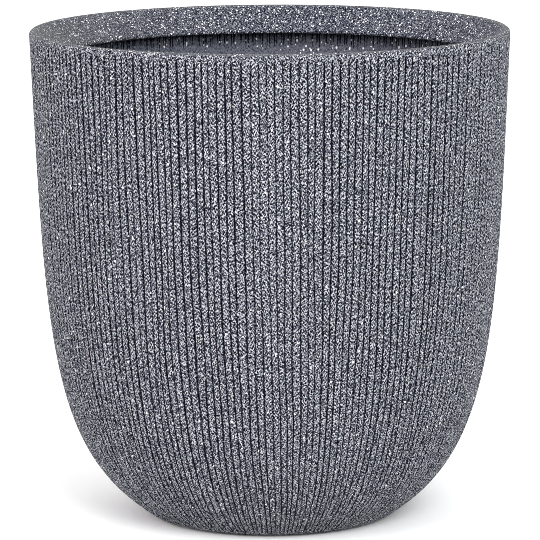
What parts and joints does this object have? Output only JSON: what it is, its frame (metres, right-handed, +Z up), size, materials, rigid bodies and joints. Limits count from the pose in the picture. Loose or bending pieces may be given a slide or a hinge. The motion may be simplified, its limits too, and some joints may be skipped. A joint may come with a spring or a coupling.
{
  "type": "round planter",
  "caption": "Round floor planter with a finely ribbed tulip-shaped shell, a turned-in bevelled rim, drain holes with pull-out plugs and pads under the foot ring.",
  "frame": {"origin": "on the ground under the middle of the base, at the underside of the pads", "axes": "+Z up along the planter's axis, -Y towards the front seen in the picture, +X to the right of it"},
  "size_m": [0.5, 0.5, 0.513],
  "materials": {
    "stone_shell": "moulded blue-grey stone effect, coarse matt grain with pale and dark flecks all through",
    "plug_rubber": "matt black moulded rubber",
    "pad_rubber": "matt dark grey rubber sheet"
  },
  "bodies": {
    "planter": {"planter_shell": "stone_shell", "floor_pad_1": "pad_rubber", "floor_pad_2": "pad_rubber", "floor_pad_3": "pad_rubber", "floor_pad_4": "pad_rubber"},
    "drain_plug_1": {"drain_plug_1": "plug_rubber"},
    "drain_plug_2": {"drain_plug_2": "plug_rubber"},
    "drain_plug_3": {"drain_plug_3": "plug_rubber"},
    "drain_plug_4": {"drain_plug_4": "plug_rubber"}
  },
  "joints": [
    {"name": "drain_plug_1_pull", "type": "slide", "parent": "planter", "child": "drain_plug_1", "axis": [0, 0, 1], "range_m": [0, 0.52]},
    {"name": "drain_plug_2_pull", "type": "slide", "parent": "planter", "child": "drain_plug_2", "axis": [0, 0, 1], "range_m": [0, 0.52]},
    {"name": "drain_plug_3_pull", "type": "slide", "parent": "planter", "child": "drain_plug_3", "axis": [0, 0, 1], "range_m": [0, 0.52]},
    {"name": "drain_plug_4_pull", "type": "slide", "parent": "planter", "child": "drain_plug_4", "axis": [0, 0, 1], "range_m": [0, 0.52]}
  ]
}
